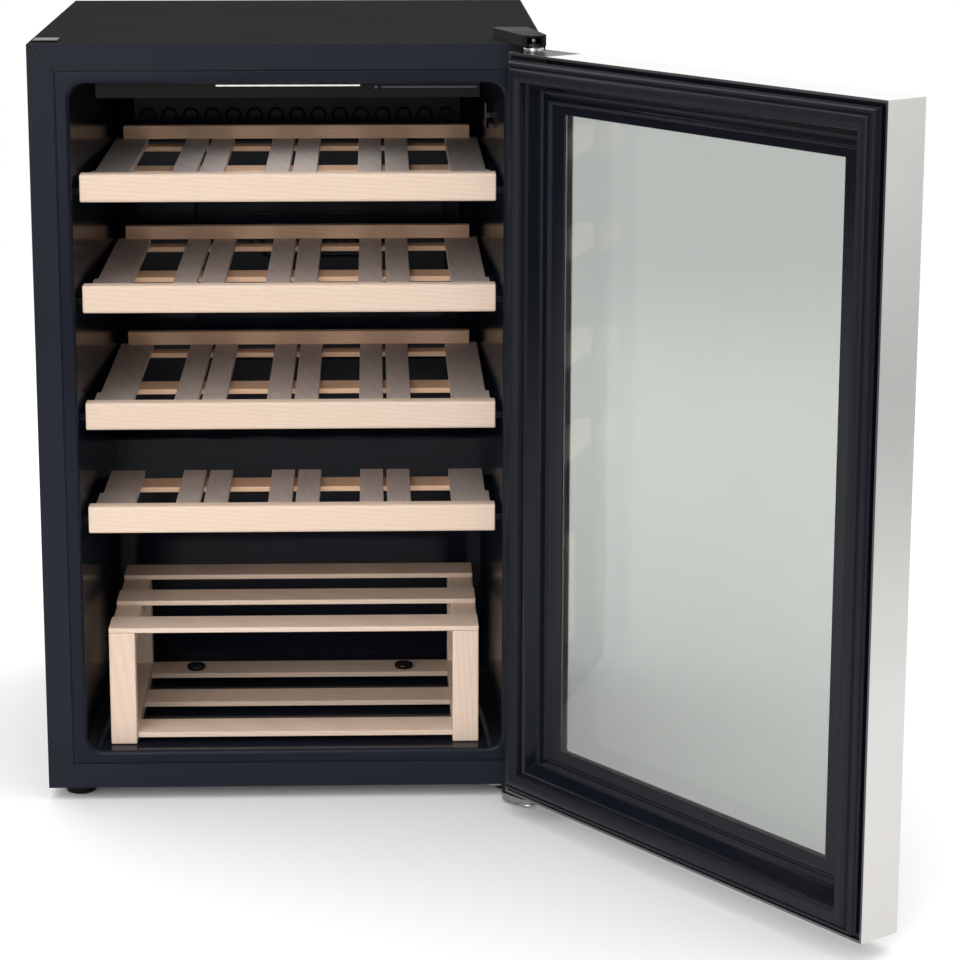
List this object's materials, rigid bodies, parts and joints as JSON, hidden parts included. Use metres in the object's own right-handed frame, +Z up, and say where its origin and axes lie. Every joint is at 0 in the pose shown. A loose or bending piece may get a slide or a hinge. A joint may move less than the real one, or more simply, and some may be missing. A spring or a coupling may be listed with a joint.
{
  "type": "wine cooler",
  "caption": "Free-standing wine cooler with a steel-framed glass door, wooden bottle shelves and a slatted wooden stand in a black cabinet",
  "frame": {"origin": "on the floor, in the middle of the four feet", "axes": "+Z up, the door side at -Y, +X to the right when facing the door"},
  "size_m": [0.8663, 1.0168, 0.848],
  "materials": {
    "cabinet_paint": "satin powder coat, blue-black",
    "top_paint": "fine textured powder coat, black",
    "galvanised": "zinc plated, dull",
    "tub_plastic": "vacuum formed, glossy black",
    "trim_plastic": "moulded, fine grain, black",
    "foam": "rigid foam, cut face",
    "diffuser": "opal, lit from behind",
    "lens": "smoked, clear",
    "probe_metal": "polished",
    "compressor_paint": "gloss enamel, black",
    "pump_iron": "as cast",
    "rubber": "matt",
    "pipe_copper": "drawn, dull",
    "condenser_paint": "satin enamel, black",
    "hinge_steel": "zinc plated, bright",
    "door_steel": "brushed along its length",
    "door_plastic": "extruded, glossy black",
    "gasket_vinyl": "soft vinyl, satin black",
    "magnet": "ferrite strip",
    "pane_outer": "polished",
    "pane_inner": "polished",
    "spacer_metal": "mill finish",
    "beech": "planed, unfinished",
    "beech_slat": "planed, unfinished, greyer",
    "cap_plastic": "moulded, black"
  },
  "bodies": {
    "cabinet": {"side_panel_left": "cabinet_paint", "side_panel_right": "cabinet_paint", "top_panel": "top_paint", "kick_rail": "cabinet_paint", "base_tray": "galvanised", "compressor_deck": "galvanised", "back_panel": "galvanised", "insulation_foam": "foam", "inner_liner": "tub_plastic", "evaporator_plate": "tub_plastic", "ceiling_housing": "trim_plastic", "led_diffuser": "diffuser", "indicator_lens": "lens", "temperature_probe": "probe_metal", "compressor_shell": "compressor_paint", "compressor_pump": "pump_iron", "compressor_mounts": "rubber", "relay_box": "trim_plastic", "filter_drier": "pipe_copper", "condenser_coil": "condenser_paint", "drain_pan": "trim_plastic", "foot_front_left": "trim_plastic", "foot_front_right": "trim_plastic", "foot_rear_left": "trim_plastic", "foot_rear_right": "trim_plastic", "top_hinge_bracket": "hinge_steel", "top_hinge_pin": "hinge_steel", "top_hinge_cover": "trim_plastic", "bottom_hinge_bracket": "hinge_steel", "bottom_hinge_pin": "hinge_steel", "hinge_screws": "hinge_steel", "hinge_hole_covers": "trim_plastic", "cable_gland": "rubber"},
    "door": {"door_steel_frame": "door_steel", "door_liner": "door_plastic", "door_gasket": "gasket_vinyl", "gasket_magnets": "magnet", "outer_pane": "pane_outer", "inner_pane": "pane_inner", "pane_spacer": "spacer_metal", "hinge_bushes": "hinge_steel", "door_end_caps": "trim_plastic"},
    "shelf_1": {"shelf_1_front_rail": "beech", "shelf_1_slats": "beech_slat", "shelf_1_cross_rails": "beech"},
    "shelf_2": {"shelf_2_front_rail": "beech", "shelf_2_slats": "beech_slat", "shelf_2_cross_rails": "beech"},
    "shelf_3": {"shelf_3_front_rail": "beech", "shelf_3_slats": "beech_slat", "shelf_3_cross_rails": "beech"},
    "shelf_4": {"shelf_4_front_rail": "beech", "shelf_4_slats": "beech_slat", "shelf_4_cross_rails": "beech"},
    "stand": {"stand_side_left": "beech", "stand_side_right": "beech", "stand_top_slats": "beech", "stand_bottom_slats": "beech", "stand_bolt_caps": "cap_plastic"}
  },
  "joints": [
    {"name": "door_hinge", "type": "hinge", "parent": "cabinet", "child": "door", "pos_m": [0.2582, -0.3061, 0.425], "axis": [0, 0, 1], "range_deg": [-126.3, 13.7]},
    {"name": "shelf_1_slide", "type": "slide", "parent": "cabinet", "child": "shelf_1", "axis": [0, -1, 0], "range_m": [0, 0.2]},
    {"name": "shelf_2_slide", "type": "slide", "parent": "cabinet", "child": "shelf_2", "axis": [0, -1, 0], "range_m": [0, 0.2]},
    {"name": "shelf_3_slide", "type": "slide", "parent": "cabinet", "child": "shelf_3", "axis": [0, -1, 0], "range_m": [0, 0.2]},
    {"name": "shelf_4_slide", "type": "slide", "parent": "cabinet", "child": "shelf_4", "axis": [0, -1, 0], "range_m": [0, 0.2]},
    {"name": "stand_slide", "type": "slide", "parent": "cabinet", "child": "stand", "axis": [0, -1, 0], "range_m": [0, 0.2]}
  ]
}
